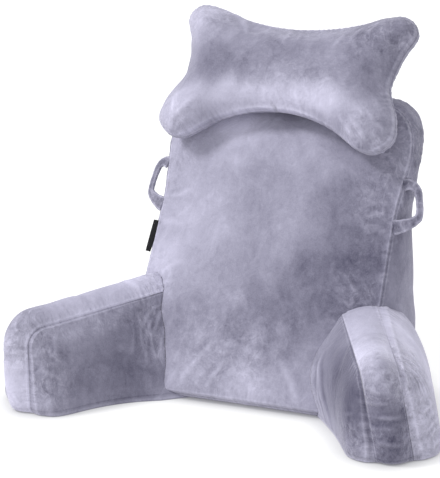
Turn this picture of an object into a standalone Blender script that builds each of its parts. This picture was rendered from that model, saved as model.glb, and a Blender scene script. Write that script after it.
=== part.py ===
"""Reading pillow with arms: a leaning backrest, two boxed arms, a bone shaped neck pillow, two handle loops.

Metres, +Z up. The pillow faces -Y and stands on z = 0. The origin is on the underside, at the middle of the
backrest's footprint. "Left" and "right" are as seen from the front, so the left arm is at -X.
"""

import bmesh
import bpy
from math import acos, atan2, cos, pi, radians, sin, sqrt, tan
from mathutils import Vector

# Backrest: a front panel that leans back, and a rear panel that stands upright and joins it at the top.
BACK_HEIGHT = 0.543
BACK_LEAN = 0.58  # set back for each metre of height
BASE_DEPTH = 0.28
BASE_SPREAD = 0.020  # how far the front spreads at the floor, fading out above it
BASE_SPREAD_HEIGHT = 0.12
TOP_DEPTH = 0.055
BACK_OUTLINE = (  # share of the height, half width, corner radius
    (0.02, 0.262, 0.02),
    (0.35, 0.256, 0.3),
    (0.66, 0.254, 0.3),
    (0.82, 0.266, 0.12),
    (1.0, 0.261, 0.078),
)
FRONT_CROWN = 0.035
REAR_CROWN = 0.030
BACK_WALL_CROWN = 0.014
UNDERSIDE_CROWN = 0.050  # below the seam, where it is cut flat at the floor
BACK_ROUNDS = (0.20, 0.12, 0.10)  # the crowns are full this far from the sides, the top and the floor
BACK_FULLNESS = 0.6
REAR_BEND = 0.04
BACK_STEP = 0.044

# Arms: two side panels and a strip between them that runs over the top and down the front.
STRIP_WIDTH = 0.070
STRIP_CROWNS = (0.034, 0.016)  # at the tip and at the root
STRIP_BANK = 0.014  # the strip's outer seam is this much higher than its inner one at the root
ARM_HEIGHT = 0.172  # of the strip's seams, at the tip and at the root
ARM_ROOT_HEIGHT = 0.182
ARM_TIP_RADIUS = 0.040
ARM_TOE = (0.03, 0.015, 0.04)  # the front turns under: set back, height it starts from, radius
ARM_ROOT = 0.16  # how far the arm runs on inside the backrest, where it is cut away
ARM_BELOW = 0.06  # the same below the floor
ARM_HIDDEN_RADII = (0.03, 0.05)  # of the corners that are cut away, below and above
ARM_STEP = 0.031
ARMS = (  # name, side, strip's middle at the tip x, y, splay in degrees, lean inwards
    ("arm_left", -1, 0.383, -0.327, 27, 0.008),
    ("arm_right", 1, 0.399, -0.314, 28.5, 0.026),
)
ARM_LENGTH = 0.32
ARM_PANEL_MIDDLE = (-0.38, 0.07)  # where the side panels' rings close
INNER_CROWNS = (0.050, 0.130)  # at the tip and at the root
OUTER_CROWNS = (0.066, 0.085)
TIP_ROUND = 0.07  # the side panels are full this far from the strip's front
OUTER_ROUND = 0.14  # and the outer one this far below its top
TIGHT = 0.5  # fullness of a tight round
INNER_FULLNESS = 0.65
ROOT_SWELL = 2.5  # how late the inner crown grows towards the root
ROOT_FLARE = 1.1
STRIP_LOW = (0.4, 0.08)  # share of the strip's crown at the floor, full from this height

# Neck pillow: its outline from the middle of an edge to the middle of the end, for the lower and upper lobes.
NECK_MIDDLE = 0.657  # up the front panel
NECK_LOWER = (  # half width, drop from the middle
    (0.000, 0.080),
    (0.060, 0.086),
    (0.125, 0.108),
    (0.185, 0.148),
    (0.230, 0.152),
    (0.262, 0.116),
    (0.250, 0.068),
    (0.228, 0.028),
)
NECK_UPPER = (  # half width, rise from the middle
    (0.222, 0.000),
    (0.232, 0.060),
    (0.256, 0.112),
    (0.230, 0.150),
    (0.180, 0.145),
    (0.120, 0.116),
    (0.060, 0.101),
    (0.000, 0.098),
)
NECK_LOWER_SHIFT = -0.014  # the lower lobes sag towards the left
NECK_FRONT_CROWN = 0.066
NECK_REAR_CROWN = 0.050
NECK_ROUND = 0.085  # the crowns are full at this distance from the seam
NECK_STAND_OFF = 0.046  # of the seam from the front panel's seams
NECK_TILT = 0.12  # the lower edge stands out further, for each metre
NECK_STEP = 0.034

# Handle loops, as stations from the upper end to the lower one, out from the side seam and up the panel.
LOOP_STATIONS = (  # out, up, width, thickness
    (-0.014, 0.468, 0.026, 0.005),
    (0.003, 0.469, 0.024, 0.005),
    (0.016, 0.464, 0.018, 0.006),
    (0.025, 0.455, 0.013, 0.007),
    (0.031, 0.442, 0.012, 0.008),
    (0.037, 0.427, 0.013, 0.008),
    (0.043, 0.412, 0.014, 0.007),
    (0.043, 0.400, 0.015, 0.007),
    (0.032, 0.391, 0.019, 0.006),
    (0.016, 0.386, 0.026, 0.005),
    (0.001, 0.384, 0.031, 0.005),
    (-0.014, 0.383, 0.031, 0.005),
)
LOOP_TURN = 26  # degrees that the loops stand behind the plane of the front panel

# Tag: a woven strip in the left side seam.
TAG_STATIONS = (
    (-0.010, 0.314, 0.066, 0.0015),
    (0.000, 0.314, 0.066, 0.0015),
    (0.008, 0.314, 0.066, 0.0015),
    (0.017, 0.313, 0.066, 0.0015),
)

STRAP_SIDES = 8
STRAP_EDGES = (1.09, 0.7)  # a strap's section: how flat its edges are, and their share of its thickness

SEAM_GAP = 0.0003
SEAM_CREASE = 0.75
ARC_STEPS = 8
FLOOR_BLOCK = (2, 2, 0.4)
PANEL_REACH = (0.34, 0.63, 0.83, 0.95, 1.0)  # a panel's rings, from its middle to its seam
WALL_ROWS = (0.08, 0.36, 0.64, 0.92)  # across the backrest's wall, close to its seams
STRIP_ROWS = (1 / 3, 2 / 3)

VELVET = (0.300, 0.290, 0.385, 1)
TAG_BLACK = (0.016, 0.015, 0.020, 1)


def material(name, colour, roughness):
    new = bpy.data.materials.new(name)
    new.use_nodes = True
    shader = new.node_tree.nodes["Principled BSDF"]
    shader.inputs["Base Color"].default_value = colour
    shader.inputs["Roughness"].default_value = roughness
    shader.inputs["Metallic"].default_value = 0.0
    return new


def collection(name):
    new = bpy.data.collections.new(name)
    bpy.context.scene.collection.children.link(new)
    return new


def even(points, step):
    """Points spaced evenly round a closed outline."""
    loop = points + points[:1]
    lengths = [(b - a).length for a, b in zip(loop, loop[1:])]
    total = sum(lengths)
    count = 2 * round(total / step / 2)
    spaced = []
    edge, passed = 0, 0.0
    for i in range(count):
        at = total * i / count
        while passed + lengths[edge] < at:
            passed += lengths[edge]
            edge += 1
        spaced.append(loop[edge].lerp(loop[edge + 1], (at - passed) / lengths[edge]))
    return spaced


def rounded(corners, step):
    """A closed outline through corners of (u, v, radius), anticlockwise, in even steps."""
    points = []
    for i, (u, v, radius) in enumerate(corners):
        corner = Vector((u, v))
        before = (Vector(corners[i - 1][:2]) - corner).normalized()
        after = (Vector(corners[(i + 1) % len(corners)][:2]) - corner).normalized()
        half = acos(max(-1, min(1, before.dot(after)))) / 2
        centre = corner + (before + after).normalized() * radius / sin(half)
        start = corner + before * radius / tan(half) - centre
        turn = pi - 2 * half
        if before.x * after.y - before.y * after.x > 0:
            turn = -turn
        for k in range(ARC_STEPS + 1):
            angle = turn * k / ARC_STEPS
            points.append(centre + Vector((start.x * cos(angle) - start.y * sin(angle),
                                           start.x * sin(angle) + start.y * cos(angle))))
    return even(points, step)


def outwards(outline):
    """The outline's outward normals."""
    normals = []
    for i in range(len(outline)):
        along = outline[(i + 1) % len(outline)] - outline[i - 1]
        normals.append(Vector((along.y, -along.x)).normalized())
    return normals


def ringed(name, around, rings, place, seams=(), smooth=1):
    """A closed form of rings from one pole to the other: place(ring, step) gives each point."""
    bm = bmesh.new()
    bmesh.ops.create_uvsphere(bm, u_segments=around, v_segments=rings + 1, radius=1)
    ring_of = {}
    for vert in bm.verts:
        ring = round(acos(max(-1, min(1, vert.co.z))) / pi * (rings + 1))
        step = round(atan2(vert.co.y, vert.co.x) / (2 * pi) * around) % around
        ring_of[vert] = ring
        vert.co = place(ring, step)
    crease = bm.edges.layers.float.new("crease_edge")
    for edge in bm.edges:
        first, second = (ring_of[vert] for vert in edge.verts)
        if first == second and first in seams:
            edge[crease] = SEAM_CREASE
    bmesh.ops.recalc_face_normals(bm, faces=bm.faces)
    mesh = bpy.data.meshes.new(name)
    bm.to_mesh(mesh)
    bm.free()
    mesh.shade_smooth()
    obj = bpy.data.objects.new(name, mesh)
    if smooth:
        subdivision = obj.modifiers.new("soft", "SUBSURF")
        subdivision.levels = smooth
        subdivision.render_levels = smooth
        facets = obj.modifiers.new("facets", "TRIANGULATE")
        facets.quad_method = "FIXED"
    return obj


def bulge(distance, reach, fullness):
    """The share of a crown at this distance from a seam: 1 from reach onwards. 0.5 is a tight round."""
    left = 1 - min(1, max(0, distance / reach))
    return (1 - left * left) ** fullness


def cushion(name, rim, near, far, near_crown, far_crown, wall=None, walls=(), middle=None):
    """A filled form between two panels with the same rim.

    near(u, v) and far(u, v) place the panels when slack, near_crown(u, v) and far_crown(u, v) give how far
    the filling lifts them there, and wall(at, normal, share) places the wall between the two seams.
    """
    normals = outwards(rim)
    middle = middle or sum(rim, Vector((0, 0))) / len(rim)
    panel = len(PANEL_REACH)
    last = 2 * panel + len(walls) - (0 if wall else 1)

    def place(ring, step):
        if panel < ring <= panel + len(walls):
            return wall(rim[step], normals[step], walls[ring - panel - 1])
        on_near = ring <= panel
        inner = ring if on_near else last + 1 - ring
        reach = PANEL_REACH[inner - 1] if inner else 0
        u, v = middle + (rim[step] - middle) * reach
        if reach == 1:
            return near(u, v) if on_near else far(u, v)
        return near(u, v) + near_crown(u, v) if on_near else far(u, v) + far_crown(u, v)

    seams = (panel, panel + len(walls) + 1) if wall else (panel,)
    return ringed(name, len(rim), last, place, seams)


def front_y(height):
    spread = max(0, 1 - height / BASE_SPREAD_HEIGHT) ** 2
    return -BASE_DEPTH / 2 + BACK_LEAN * height - BASE_SPREAD * spread


def rear_y(height):
    """Upright from the floor, then parallel to the front panel, with an easy bend between."""
    upright = BASE_DEPTH / 2
    leaning = front_y(height) + TOP_DEPTH
    return (upright + leaning + sqrt((upright - leaning) ** 2 + REAR_BEND ** 2)) / 2


def up_panel(distance):
    """Height above the floor of a point this far up the front panel."""
    return distance / sqrt(1 + BACK_LEAN ** 2)


def half_width(height):
    rows = [(share * BACK_HEIGHT, half) for share, half, _ in BACK_OUTLINE]
    for (low, first), (high, second) in zip(rows, rows[1:]):
        if height <= high:
            return first + (second - first) * (height - low) / (high - low)
    return rows[-1][1]


def backrest(name):
    right = [(half, share * BACK_HEIGHT, radius) for share, half, radius in BACK_OUTLINE]
    left = [(-u, v, radius) for u, v, radius in reversed(right)]
    forward = Vector((0, -1, BACK_LEAN)).normalized()

    def fill(u, v):
        share = 1
        for edge, reach in zip((half_width(v) - abs(u), BACK_HEIGHT - v, v), BACK_ROUNDS):
            share *= bulge(edge, reach, BACK_FULLNESS)
        return share

    def front(u, v):
        return Vector((u, front_y(v), v))

    def rear(u, v):
        return Vector((u, rear_y(v), v))

    def wall(at, normal, share):
        below = max(0, -normal.y)
        crown = (BACK_WALL_CROWN + (UNDERSIDE_CROWN - BACK_WALL_CROWN) * below) * (1 - (2 * share - 1) ** 4)
        return front(*at).lerp(rear(*at), share) + Vector((normal.x, 0, normal.y)) * crown

    return cushion(
        name,
        rounded(right + left, BACK_STEP),
        front,
        rear,
        lambda u, v: forward * FRONT_CROWN * fill(u, v),
        lambda u, v: Vector((0, REAR_CROWN * fill(u, v), 0)),
        wall,
        WALL_ROWS,
    )


def arm(name, side, tip_x, tip_y, splay, lean):
    angle = radians(splay)
    ahead = Vector((side * sin(angle), -cos(angle), 0))
    outer = Vector((side * cos(angle), sin(angle), 0))
    upward = Vector((0, 0, 1))
    tip = Vector((side * tip_x, tip_y, 0))
    rise = (ARM_ROOT_HEIGHT - ARM_HEIGHT) / ARM_LENGTH
    end = ARM_LENGTH + ARM_ROOT
    set_back, toe_height, toe_radius = ARM_TOE
    hidden_low, hidden_high = ARM_HIDDEN_RADII
    rim = rounded([
        (-end, -ARM_BELOW, hidden_low),
        (-set_back, -ARM_BELOW, hidden_low),
        (0, toe_height, toe_radius),
        (0, ARM_HEIGHT, ARM_TIP_RADIUS),
        (-end, ARM_HEIGHT + rise * end, hidden_high),
    ], ARM_STEP)

    def rooted(u):
        return min(1, max(0, -u / ARM_LENGTH))

    def slack(across):
        def panel(u, v):
            raised = max(0, v / ARM_HEIGHT)
            bank = STRIP_BANK * rooted(u) * (across / STRIP_WIDTH + 0.5)
            return tip + ahead * u + outer * (across - lean * raised) + upward * (v + bank * raised)
        return panel

    def between(values, share):
        return values[0] + (values[1] - values[0]) * share

    def inner(u, v):
        """Round at the tip; towards the root it opens out in a straight line down to the floor."""
        crown = between(INNER_CROWNS, rooted(u) ** ROOT_SWELL)
        fullness = INNER_FULLNESS + ROOT_FLARE * rooted(u) ** 3
        down = bulge(ARM_HEIGHT - rise * u - v, ARM_HEIGHT, fullness)
        return outer * -crown * down * bulge(-u, TIP_ROUND, TIGHT)

    def outside(u, v):
        down = bulge(ARM_HEIGHT - rise * u - v, OUTER_ROUND, TIGHT)
        return outer * between(OUTER_CROWNS, rooted(u)) * down * bulge(-u, TIP_ROUND, TIGHT)

    def wall(at, normal, share):
        low, reach = STRIP_LOW
        crown = between(STRIP_CROWNS, rooted(at.x)) * 4 * share * (1 - share)
        crown *= low + (1 - low) * bulge(at.y, reach, TIGHT)
        across = STRIP_WIDTH * (share - 0.5)
        return slack(across)(*at) + (ahead * normal.x + upward * normal.y) * crown

    return cushion(
        name,
        rim,
        slack(-STRIP_WIDTH / 2),
        slack(STRIP_WIDTH / 2),
        inner,
        outside,
        wall,
        STRIP_ROWS,
        Vector(ARM_PANEL_MIDDLE),
    )


def neck_pillow(name):
    right = [Vector((u, -v)) for u, v in NECK_LOWER] + [Vector(row) for row in NECK_UPPER]
    left = [Vector((-point.x, point.y)) for point in reversed(right[1:-1])]
    deepest = max(drop for _, drop in NECK_LOWER)
    corners = right + left
    for point in corners:
        point.x += NECK_LOWER_SHIFT * min(1, max(0, 0.5 - point.y / deepest))
    outline = even(corners, NECK_STEP)
    spacing = NECK_STEP / 6  # of the finer points that the filling's distances are taken from
    edge = even(corners, spacing)
    forward = Vector((0, -1, BACK_LEAN)).normalized()
    upright = Vector((0, BACK_LEAN, 1)).normalized()
    middle = Vector((0, -BASE_DEPTH / 2, 0)) + upright * NECK_MIDDLE + forward * NECK_STAND_OFF

    def slack(u, v):
        return middle + Vector((u, 0, 0)) + upright * v - forward * NECK_TILT * v

    def fill(u, v):
        """Follows the distance from the seam, and runs smoothly across the middle."""
        pull = sum(spacing / max(0.0001, (Vector((u, v)) - point).length) ** 4 for point in edge)
        return bulge((pi / 2 / pull) ** (1 / 3), NECK_ROUND, TIGHT)

    return cushion(
        name,
        outline,
        slack,
        slack,
        lambda u, v: forward * NECK_FRONT_CROWN * fill(u, v),
        lambda u, v: forward * -NECK_REAR_CROWN * fill(u, v),
        middle=Vector((0, 0)),
    )


def strap(name, side, stations, turn):
    """A flat strap that leaves the side seam and lies in the plane of the seam, turned back a little."""
    out = Vector((side * cos(radians(turn)), sin(radians(turn)), 0))
    upward = Vector((0, BACK_LEAN, 1)).normalized()
    face = out.cross(upward).normalized()
    centres = []
    for reach, up, _, _ in stations:
        height = up_panel(up)
        seam = Vector((side * half_width(height), front_y(height), height))
        centres.append(seam + out * reach)

    def place(ring, step):
        if ring == 0 or ring == len(stations) + 1:
            return centres[min(ring, len(stations)) - (1 if ring else 0)]
        at = centres[ring - 1]
        along = centres[min(ring, len(stations) - 1)] - centres[max(ring - 2, 0)]
        across = face.cross(along).normalized()
        angle = 2 * pi * (step + 0.5) / STRAP_SIDES
        width, thickness = stations[ring - 1][2:]
        flat, thin = STRAP_EDGES
        sideways = across * width / 2 * max(-1, min(1, flat * cos(angle)))
        up_or_down = face * thickness / 2 * (1 if sin(angle) > 0 else -1)
        return at + sideways + up_or_down * (thin if abs(cos(angle)) > 0.5 else 1)

    return ringed(name, STRAP_SIDES, len(stations), place, smooth=0)


def cut(obj, name, cutter):
    boolean = obj.modifiers.new(name, "BOOLEAN")
    boolean.operation = "DIFFERENCE"
    boolean.solver = "EXACT"
    boolean.object = cutter


def helper(obj, group):
    obj.hide_render = True
    obj.display_type = "WIRE"
    group.objects.link(obj)
    return obj


def floor_block():
    bm = bmesh.new()
    bmesh.ops.create_cube(bm, size=1)
    bmesh.ops.scale(bm, vec=FLOOR_BLOCK, verts=bm.verts)
    bmesh.ops.translate(bm, vec=(0, 0, -FLOOR_BLOCK[2] / 2), verts=bm.verts)
    mesh = bpy.data.meshes.new("floor_block")
    bm.to_mesh(mesh)
    bm.free()
    return bpy.data.objects.new("floor_block", mesh)


def clearance(obj, name):
    """The form of obj with the same facets, larger by the gap that sewn pieces keep here."""
    copy = obj.copy()
    copy.name = name
    grow = copy.modifiers.new("gap", "DISPLACE")
    grow.strength = SEAM_GAP
    grow.mid_level = 0
    return copy


for old in list(bpy.data.objects):
    bpy.data.objects.remove(old)

pillow = collection("reading_pillow")
cutters = collection("cutters")
velvet = material("velvet", VELVET, 0.9)
woven = material("woven_tag", TAG_BLACK, 0.6)

floor = helper(floor_block(), cutters)
back = backrest("backrest")
around_back = helper(clearance(back, "backrest_clearance"), cutters)
cut(back, "flat underside", floor)

parts = {back: velvet}
for row in ARMS:
    made = arm(*row)
    cut(made, "root", around_back)
    cut(made, "flat underside", floor)
    parts[made] = velvet

neck = neck_pillow("neck_pillow")
cut(neck, "rests on the backrest", around_back)
parts[neck] = velvet

for name, side in (("loop_left", -1), ("loop_right", 1)):
    made = strap(name, side, LOOP_STATIONS, LOOP_TURN)
    cut(made, "ends at the seam", around_back)
    parts[made] = velvet

tag = strap("tag", -1, TAG_STATIONS, LOOP_TURN)
cut(tag, "ends at the seam", around_back)
parts[tag] = woven

for obj, finish in parts.items():
    obj.data.materials.append(finish)
    pillow.objects.link(obj)
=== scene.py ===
from math import acos, atan, cos, pi, radians, sin, sqrt, tan

import bmesh
import bpy
import numpy as np
from mathutils import Matrix, Quaternion, Vector, noise
from mathutils.kdtree import KDTree


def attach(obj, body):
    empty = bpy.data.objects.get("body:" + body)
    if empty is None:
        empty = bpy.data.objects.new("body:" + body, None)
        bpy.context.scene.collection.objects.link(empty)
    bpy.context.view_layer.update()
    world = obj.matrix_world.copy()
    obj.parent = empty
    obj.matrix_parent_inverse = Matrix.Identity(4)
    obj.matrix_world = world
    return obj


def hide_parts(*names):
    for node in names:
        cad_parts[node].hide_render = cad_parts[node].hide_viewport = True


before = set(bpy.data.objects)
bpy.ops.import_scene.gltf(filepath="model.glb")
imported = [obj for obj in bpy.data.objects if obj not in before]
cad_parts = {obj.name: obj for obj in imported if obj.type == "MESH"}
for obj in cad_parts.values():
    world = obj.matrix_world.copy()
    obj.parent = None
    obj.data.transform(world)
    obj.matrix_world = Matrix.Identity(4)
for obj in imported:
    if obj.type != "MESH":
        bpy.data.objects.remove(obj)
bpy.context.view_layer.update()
scene = bpy.context.scene
print("frame loaded")


# outlines of the cut panels

arcSteps = 12
rimPoints = 1200
tiny = 1e-6


def evenly(points, count):  # the same outline in equal steps, and its girth
    loop = np.vstack([points, points[:1]])
    steps = np.linalg.norm(np.diff(loop, axis=0), axis=1)
    passed = np.concatenate([[0], np.cumsum(steps)])
    at = np.linspace(0, passed[-1], count, endpoint=False)
    return np.stack([np.interp(at, passed, loop[:, k]) for k in (0, 1)], axis=1), passed[-1]


def roundedOutline(corners):  # corners are (u, v, radius), anticlockwise
    made = []
    for i, (u, v, radius) in enumerate(corners):
        corner = Vector((u, v))
        before = (Vector(corners[i - 1][:2]) - corner).normalized()
        after = (Vector(corners[(i + 1) % len(corners)][:2]) - corner).normalized()
        half = acos(max(-1, min(1, before.dot(after)))) / 2
        centre = corner + (before + after).normalized() * radius / sin(half)
        start = corner + before * radius / tan(half) - centre
        turn = pi - 2 * half
        if before.x * after.y - before.y * after.x > 0:
            turn = -turn
        for k in range(arcSteps + 1):
            made.append((centre + Matrix.Rotation(turn * k / arcSteps, 2) @ start)[:])
    return np.array(made)


def splined(corners, steps=10):  # a smooth closed curve through the corners
    points = np.array([corner[:] for corner in corners])
    made = []
    for i in range(len(points)):
        a, b, c, d = (points[(i + k) % len(points)] for k in (-1, 0, 1, 2))
        for t in np.arange(steps) / steps:
            made.append(0.5 * (2 * b + (c - a) * t + (2 * a - 5 * b + 4 * c - d) * t * t
                               + (3 * b - a - 3 * c + d) * t ** 3))
    return np.array(made)


def bulge(distance, reach, fullness):  # 0 at a seam, 1 from this reach on
    left = 1 - np.clip(distance / reach, 0, 1)
    return (1 - left * left) ** fullness


# numbers kept on the points of a mesh

def keep(mesh, name, values):
    layer = mesh.attributes.get(name) or mesh.attributes.new(name, "FLOAT", "POINT")
    layer.data.foreach_set("value", np.ascontiguousarray(values, dtype=np.float32))


def kept(mesh, name):
    values = np.empty(len(mesh.vertices), dtype=np.float32)
    mesh.attributes[name].data.foreach_get("value", values)
    return values.astype(float)


def rowsOf(found, name):
    values = np.empty(len(found) * 3, dtype=np.float32)
    found.foreach_get(name, values)
    return values.reshape(-1, 3).astype(float)


def placesOf(mesh):
    return rowsOf(mesh.vertices, "co")


def normalsOf(mesh):
    return rowsOf(mesh.vertex_normals, "vector")


def movePoints(mesh, places):
    mesh.vertices.foreach_set("co", np.ascontiguousarray(places, dtype=np.float32).ravel())
    mesh.update()


def waves(places, size, seed):  # smooth noise from -1 to 1, one value a point
    offset = Vector((seed * 7.13, seed * 3.71, seed * 5.37))
    return np.array([noise.noise(Vector(place) / size + offset) for place in places])


# sewn forms: two panels and the wall between them

def cutCube(cuts):  # a cube from -1 to 1 with this many cuts across each axis
    bm = bmesh.new()
    bmesh.ops.create_cube(bm, size=2)
    for axis, count in enumerate(cuts):
        along = [edge for edge in bm.edges
                 if abs(edge.verts[0].co[axis] - edge.verts[1].co[axis]) > tiny]
        bmesh.ops.subdivide_edges(bm, edges=along, cuts=count, use_grid_fill=True)
    return bm


def closedPiece(bm, name):
    bm.normal_update()
    bmesh.ops.recalc_face_normals(bm, faces=bm.faces)
    mesh = bpy.data.meshes.new(name)
    bm.to_mesh(mesh)
    bm.free()
    piece = bpy.data.objects.new(name, mesh)
    scene.collection.objects.link(piece)
    return piece


def sewnForm(name, outline, corners, cuts, near, far, wall, crowding=1.3):
    # the cube's two large faces become the panels and its sides become the wall
    bm = cutCube(cuts)
    cube = np.array([vert.co[:] for vert in bm.verts])
    shares = np.sign(cube) * (1 - (1 - np.abs(cube)) ** crowding)  # rows crowd towards the seams
    p, q, share = ((shares[:, k] + 1) / 2 for k in range(3))

    rim, girth = evenly(outline, rimPoints)
    count = len(rim)
    first = [int(np.argmin(np.linalg.norm(rim - corner, axis=1))) for corner in corners]
    ends = [first[0]]
    for index in first[1:] + first[:1]:
        ends.append(index if index > ends[-1] else index + count)

    def side(k, t):
        at = ends[k] + (ends[k + 1] - ends[k]) * t
        low = np.floor(at).astype(int)
        part = (at - low)[:, None]
        return rim[low % count] * (1 - part) + rim[(low + 1) % count] * part

    c0, c1, c2, c3 = (rim[index % count] for index in ends[:4])
    p1, q1 = p[:, None], q[:, None]
    flat = (1 - q1) * side(0, p) + q1 * side(2, 1 - p) + (1 - p1) * side(3, 1 - q) + p1 * side(1, q)
    flat -= (1 - p1) * (1 - q1) * c0 + p1 * (1 - q1) * c1 + p1 * q1 * c2 + (1 - p1) * q1 * c3

    ahead = np.roll(rim, -1, 0) - np.roll(rim, 1, 0)
    normals = np.stack([ahead[:, 1], -ahead[:, 0]], axis=1)
    normals /= np.linalg.norm(normals, axis=1)[:, None]
    tree = KDTree(count)
    for i, (u, v) in enumerate(rim):
        tree.insert((u, v, 0), i)
    tree.balance()
    found = [tree.find((u, v, 0)) for u, v in flat]
    nearest = np.array([item[1] for item in found])
    distance = np.array([item[2] for item in found])
    onRim = np.abs(cube[:, :2]).max(axis=1) > 1 - tiny
    distance[onRim] = 0
    onWall = onRim & (np.abs(cube[:, 2]) < 1 - tiny)
    onNear = cube[:, 2] < -1 + tiny

    u, v = flat[:, 0], flat[:, 1]
    places = np.where(onNear[:, None], near(u, v, distance), far(u, v, distance))
    wallPlaces = wall(flat, normals[nearest], share)
    places[onWall] = wallPlaces[onWall]
    for vert, place in zip(bm.verts, places):
        vert.co = place
    piece = closedPiece(bm, name)
    mesh = piece.data
    wallWidth = np.linalg.norm(near(u, v, distance * 0) - far(u, v, distance * 0), axis=1)
    keep(mesh, "seam", np.where(onWall, np.minimum(share, 1 - share) * wallWidth, distance))
    keep(mesh, "along", nearest / count * girth)
    keep(mesh, "across", np.where(onWall, share, np.where(onNear, 0, 1)))
    keep(mesh, "panelU", u)
    keep(mesh, "panelV", v)
    return piece


def settled(piece):  # applies the modifiers
    graph = bpy.context.evaluated_depsgraph_get()
    made = bpy.data.meshes.new_from_object(piece.evaluated_get(graph), preserve_all_data_layers=True,
                                           depsgraph=graph)
    old = piece.data
    piece.modifiers.clear()
    piece.data = made
    made.name = piece.name
    bpy.data.meshes.remove(old)
    return piece


def softer(piece, levels=1):
    modifier = piece.modifiers.new("soft", "SUBSURF")
    modifier.levels = levels
    return settled(piece)


def cutBy(piece, other):
    modifier = piece.modifiers.new("meets its neighbour", "BOOLEAN")
    modifier.operation = "DIFFERENCE"
    modifier.solver = "MANIFOLD"
    modifier.object = other
    return settled(piece)


clothShared = {
    "frames": 14,
    "quality": 4,
    "mass": 0.3,
    "shear": 4,
    "airDamping": 3,
    "cap": 0.006,  # no point moves further
    "heldWithin": 0.0004,  # distances from a seam: what is held, where the stir and the movement fade in
    "stirFadesIn": 0.02,
    "movementFadesIn": 0.004,
}


def inflated(piece, ownCloth):
    # the cover is cut a little larger than the form, held at its seams and blown up from inside
    cloth = dict(clothShared, **ownCloth)
    mesh = piece.data
    start = placesOf(mesh)
    normals = normalsOf(mesh)
    seam = kept(mesh, "seam")
    stir = waves(start, cloth["stirSize"], cloth["seed"]) * cloth["stir"]
    stir = stir * np.clip(seam / cloth["stirFadesIn"], 0, 1)
    movePoints(mesh, start + normals * stir[:, None])
    held = piece.vertex_groups.new(name="held")
    held.add([int(i) for i in np.flatnonzero(seam < cloth["heldWithin"])], 1.0, "REPLACE")
    modifier = piece.modifiers.new("cloth", "CLOTH")
    settings = modifier.settings
    settings.quality = cloth["quality"]
    settings.mass = cloth["mass"]
    settings.tension_stiffness = settings.compression_stiffness = cloth["stiffness"]
    settings.shear_stiffness = cloth["shear"]
    settings.bending_stiffness = cloth["bending"]
    settings.air_damping = cloth["airDamping"]
    settings.use_pressure = True
    settings.uniform_pressure_force = cloth["pressure"]
    settings.shrink_min = -cloth["spare"]
    settings.vertex_group_mass = "held"
    settings.effector_weights.gravity = 0
    modifier.collision_settings.use_collision = False
    modifier.point_cache.frame_end = cloth["frames"]
    for step in range(1, cloth["frames"] + 1):
        scene.frame_set(step)
    graph = bpy.context.evaluated_depsgraph_get()
    moved = placesOf(piece.evaluated_get(graph).data) - start
    ends = np.empty(len(mesh.edges) * 2, dtype=np.int32)
    mesh.edges.foreach_get("vertices", ends)
    near, beside = np.append(ends[0::2], ends[1::2]), np.append(ends[1::2], ends[0::2])
    degree = 1 + np.bincount(near, minlength=len(moved))
    fading = np.clip(seam / cloth["movementFadesIn"], 0, 1)[:, None]
    for _ in range(cloth["evened"]):  # takes out the ripples from one row of the mesh to the next
        summed = np.stack([np.bincount(near, moved[beside, axis], len(moved)) for axis in range(3)], axis=1)
        moved = (moved + summed) / degree[:, None] * fading
    size = np.maximum(np.linalg.norm(moved, axis=1), 1e-9)
    allowed = cloth["cap"] * np.tanh(size / cloth["cap"])
    moved *= (allowed / size)[:, None]
    piece.modifiers.clear()
    piece.vertex_groups.clear()
    movePoints(mesh, start + moved)
    scene.frame_set(1)
    print(piece.name, "blown up by", round((moved * normals).sum(axis=1).mean() * 1000, 1), "mm on average")
    return piece


def onFloor(piece, rounding):  # what is below the floor is pressed flat against it, with a soft edge
    mesh = piece.data
    places = placesOf(mesh)
    z = places[:, 2]
    places[:, 2] = np.where(z < rounding * 4, (z + np.sqrt(z * z + rounding * rounding)) / 2, z)
    low = z < -rounding
    places[low, 2] = np.minimum(places[low, 2], 0.0004)
    movePoints(mesh, places)
    return piece


# relief of the cloth: seams, gathers and folds

weltAt = 0.0030
weltHeight = 0.0005


def seamRelief(distance, seamed):  # a stitched groove between two low welts
    depth, width, weltWidth = seamed
    welt = np.exp(-((distance - weltAt) / weltWidth) ** 2)
    return weltHeight * welt - depth * np.exp(-(distance / width) ** 2)


gatherShape = {
    "groupSize": 0.1,
    "groupShare": 0.45,  # of the seam that is gathered, above the noise's middle
    "bendSize": 0.05,
    "bend": 3.2,
    "slant": 60,
    "fineCount": 2.3,  # finer puckers between the others, this many times as many
    "fineHeight": 0.6,
    "end": 2.6,  # in lengths from the seam
}


def gathers(along, distance, girth, gather):  # short puckers beside the seam, in groups
    s = gatherShape
    turns = 2 * pi * along / girth
    ring = np.stack([np.cos(turns), np.sin(turns), distance * 0], axis=1) * girth / (2 * pi)
    group = np.clip(waves(ring, s["groupSize"], gather["seed"] + 5) + s["groupShare"], 0, None)
    bend = waves(ring, s["bendSize"], gather["seed"]) * s["bend"]
    count = round(girth / gather["spacing"])
    wave = np.cos(turns * count + bend * 3 + distance * s["slant"])
    fine = np.cos(turns * round(count * s["fineCount"]) + bend * 5)
    near, close = distance / gather["length"], distance / (gather["length"] * 0.5)
    short = np.clip(1 - near / s["end"], 0, 1) ** 0.7
    wave = wave * near * np.exp(1 - near) + s["fineHeight"] * fine * close * np.exp(1 - close)
    return gather["depth"] * group * short * wave


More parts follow.
